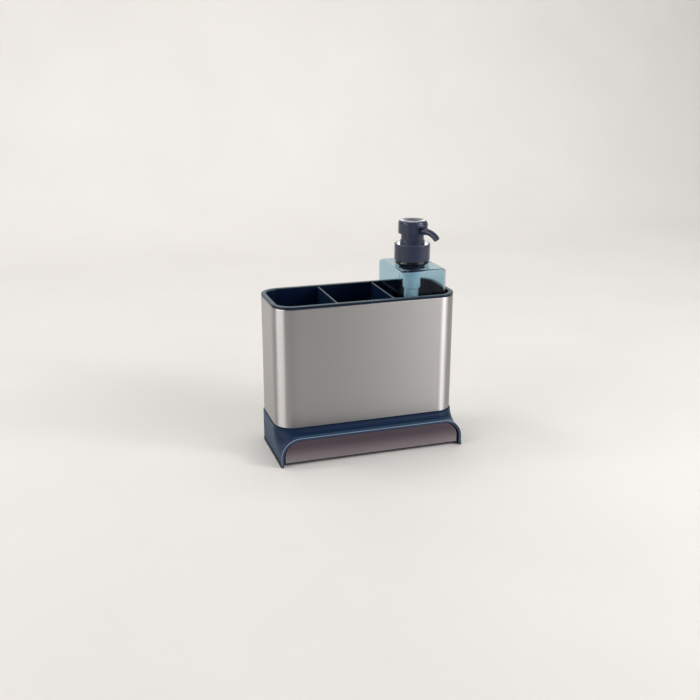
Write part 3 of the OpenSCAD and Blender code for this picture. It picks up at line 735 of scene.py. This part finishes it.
# The thicker root of the spout, where it leaves the skirt through the notch
boss = bmesh.ops.create_cone(
    bm, cap_ends=True, radius1=boss_inner_r, radius2=boss_outer_r, depth=boss_l, segments=48,
    matrix=Matrix.Translation(on_spout(boss_out, boss_z)) @ turned,
)["verts"]
boss_end = edges_among(bm, boss, lambda v: (v.co - on_spout(0, 0)).dot(along) > boss_out)
bmesh.ops.bevel(
    bm, geom=boss_end, offset=boss_round, offset_type="OFFSET", segments=5, profile=0.5, affect="EDGES",
    material=-1,
)
piece("head_inner", bm, "head", slate, "actuator", soften=0.0003)

cover_r, cover_t, cover_low, cover_top, notch_top = 0.01475, 0.0014, 0.2157, 0.2286, 0.2228
seat_r, notch_half = 0.0118, math.radians(38)
edge_r, dish_r, dish_depth, dish_step = 0.0024, 0.0085, 0.0018, 0.0003
brow_top, brow_proud, brow_over, brow_fade = 0.2263, 0.0008, 0.01, 0.12
brow_rows = (0.3, 0.5, 0.62, 0.7, 0.76, 0.82, 0.87, 0.91, 0.94, 0.97, 0.99)


def turn_from_spout(spot):
    """The angle about the pump's axis from the spout to a place."""
    turn = math.atan2(spot.y - sleeve_y, spot.x - pump_x) - spout_turn
    return abs((turn + math.pi) % (2 * math.pi) - math.pi)


brow = [(cover_r, notch_top + (brow_top - notch_top) * k) for k in brow_rows]
edge = rounding(0, cover_top - edge_r, edge_r, edge_r, range(0, 91, 10))
edge = [(cover_r - inset, z) for inset, z in edge]
dish = []
for k in range(10, 0, -1):
    sunk = (dish_depth - dish_step) * (1 - (k / 10) ** 2) ** 1.2
    dish.append((dish_r * k / 10, cover_top - dish_step - sunk))
bm = bmesh.new()
lathe(bm, [
    (cover_r - cover_t, cover_low), (cover_r, cover_low), (cover_r, notch_top), *brow, *edge, *dish,
    (0, cover_top - dish_depth), (0, head_top), (seat_r, head_top), (seat_r, cover_seat),
    (cover_r - cover_t, cover_seat), (cover_r - cover_t, notch_top),
], steps=180)
gone = []
for f in bm.faces:
    spot = f.calc_center_median()
    if spot.z < notch_top and turn_from_spout(spot) < notch_half:
        gone.append(f)
bmesh.ops.delete(bm, geom=gone, context="FACES")
for vert in bm.verts:
    out = Vector((vert.co.x - pump_x, vert.co.y - sleeve_y))
    inside = notch_half + brow_over - turn_from_spout(vert.co)
    if abs(out.length - cover_r) < 1e-5 and notch_top - 1e-5 < vert.co.z < brow_top and inside > 0:
        rise = (vert.co.z - notch_top) / (brow_top - notch_top)
        swell = brow_proud * math.sqrt(max(0.0, 1 - rise ** 3)) * min(1.0, inside / brow_fade) ** 0.5
        vert.co += (out.normalized() * swell).to_3d()
rim = [e for e in bm.edges if e.is_boundary and all(abs(v.co.z - notch_top) < 1e-6 for v in e.verts)]
bmesh.ops.bridge_loops(bm, edges=rim)
bmesh.ops.holes_fill(bm, edges=[e for e in bm.edges if e.is_boundary])
piece("head_cap", bm, "head", slate, "head_cover", soften=0.0005, steps=4, angle=32)


# Working parts inside the pump, which keep the frame's own meshes: washer, stem and piston of white
# polyethylene, and the balls and the spring of bright stainless steel.
def dress(names, material):
    """Puts a material on pieces of the frame."""
    for name in names:
        for held in nodes[name].material_slots:
            held.material = material


white, shader, place = finish("white_moulding", Specular_IOR_Level=0.5)
mottle = grain(place, (1, 1, 1), 300, 3)
join(
    shader,
    Base_Color=blend(place, mottle, (0.72, 0.72, 0.7), (0.82, 0.82, 0.8)),
    Roughness=mottle * 0.15 + 0.35,
    Normal=bump(place, mottle, 0.00005, 0.4),
)
dress(("neck_gasket", "stem", "piston"), white)

polished, shader, place = finish("polished_wire", Metallic=1.0)
drawn_marks = grain(place, (1, 1, 1), 1500, 2)
join(
    shader,
    Base_Color=blend(place, drawn_marks, (0.6, 0.6, 0.6), (0.75, 0.75, 0.74)),
    Roughness=drawn_marks * 0.1 + 0.12,
    Normal=bump(place, drawn_marks, 0.00003, 0.3),
)
dress(("inlet_ball", "outlet_ball", "return_spring"), polished)


# Stage. A pale floor that curves up into a backdrop behind the object. It is darker far in front,
# outside the picture, so that the steel's lower part doesn't mirror a bright floor.
floor_front, floor_mid, floor_back, floor_half = -1.6, -0.6, 0.9, 2.6
curve_r, backdrop_top = 0.5, 1.9
pale_to, dark_from = -0.5, -1.0

stone, shader, place = finish("pale_floor", Specular_IOR_Level=0.1)
veins = grain(place, (1, 1, 1), 6, 5)
reach = ramp(part(place, "y"), pale_to, dark_from, interpolation_type="SMOOTHSTEP")
pale = blend(place, veins, (0.69, 0.675, 0.65), (0.75, 0.735, 0.71))
join(
    shader,
    Base_Color=blend(place, reach, pale, (0.3, 0.3, 0.3)),
    Roughness=veins * 0.1 + 0.6,
)
sweep = [(floor_front, 0), (floor_mid, 0), (floor_back, 0)]
for degrees in range(6, 91, 6):
    a = math.radians(degrees)
    sweep.append((floor_back + curve_r * math.sin(a), curve_r - curve_r * math.cos(a)))
sweep.append((floor_back + curve_r, backdrop_top))
bm = bmesh.new()
strip(bm, 1, len(sweep) - 1, lambda i, j: Vector(((-floor_half, floor_half)[i], *sweep[j])))
bmesh.ops.recalc_face_normals(bm, faces=bm.faces)
if bm.faces[:][0].normal.z < 0:
    bmesh.ops.reverse_faces(bm, faces=bm.faces)
mesh = bpy.data.meshes.new("floor_sweep")
bm.to_mesh(mesh)
bm.free()
mesh.materials.append(stone)
mesh.polygons.foreach_set("use_smooth", [True] * len(mesh.polygons))
floor = bpy.data.objects.new("floor_sweep", mesh)
scene.collection.objects.link(floor)


# Lamps and camera. Two soft boxes stand where the steel's round corners mirror them, and a third hangs
# overhead. A small lamp behind glosses the level tops of the pump, another gives the brow its spark, and a
# long one lights the backdrop. The camera is the one that was fitted to the photograph.
lamp_tint, body_aim = (1, 0.98, 0.962), (0, 0, 0.12)


def lamp(name, place, aim, width, height, power):
    """A rectangular lamp at a place, turned to its aim and out of the camera's sight."""
    light = bpy.data.lights.new(name, "AREA")
    light.shape = "RECTANGLE"
    light.size, light.size_y, light.energy, light.color = width, height, power, lamp_tint
    made = bpy.data.objects.new(name, light)
    made.location = place
    made.rotation_euler = (Vector(aim) - Vector(place)).to_track_quat("-Z", "Y").to_euler()
    made.visible_camera = False
    scene.collection.objects.link(made)
    return made


lamp("soft_left", (-1.584, -0.223, 0.75), body_aim, 1.5, 1.2, 18.5)
lamp("soft_right", (1.115, -1.0, 0.75), body_aim, 1.31, 1.2, 16.5)
lamp("soft_top", (-0.8, 0.5, 1.35), (0, 0, 0.1), 0.4, 0.35, 4.5)
gloss = lamp("gloss_back", (0.28, 0.56, 0.332), (0.06, 0, 0.22), 0.054, 0.019, 0.017)
gloss.visible_transmission = False
lamp("spark", (0.769, -0.588, 0.593), (0.0587, 0.0075, 0.22), 0.16, 0.08, 2.6)
lamp("wall_wash", (0.5, 0.7, 1.7), (0.8, 1.4, 0.5), 2.2, 0.3, 13)

world = bpy.data.worlds.new("room")
scene.world = world
world.use_nodes = True
background = world.node_tree.nodes["Background"]
background.inputs["Color"].default_value = (0.3, 0.3, 0.31, 1)
background.inputs["Strength"].default_value = 1.0

eye = (-0.28876, -0.86188, 0.39632)
yaw, pitch, roll = math.radians(17.906), math.radians(18.150), math.radians(0.091)
camera = bpy.data.cameras.new("camera")
camera.sensor_width = 36
camera.lens = 47.83
camera.clip_start = 0.01
made = bpy.data.objects.new("camera", camera)
made.matrix_world = (
    Matrix.Translation(eye)
    @ Matrix.Rotation(-yaw, 4, "Z")
    @ Matrix.Rotation(math.pi / 2 - pitch, 4, "X")
    @ Matrix.Rotation(roll, 4, "Z")
)
scene.collection.objects.link(made)
scene.camera = made
scene.view_settings.view_transform = "Standard"
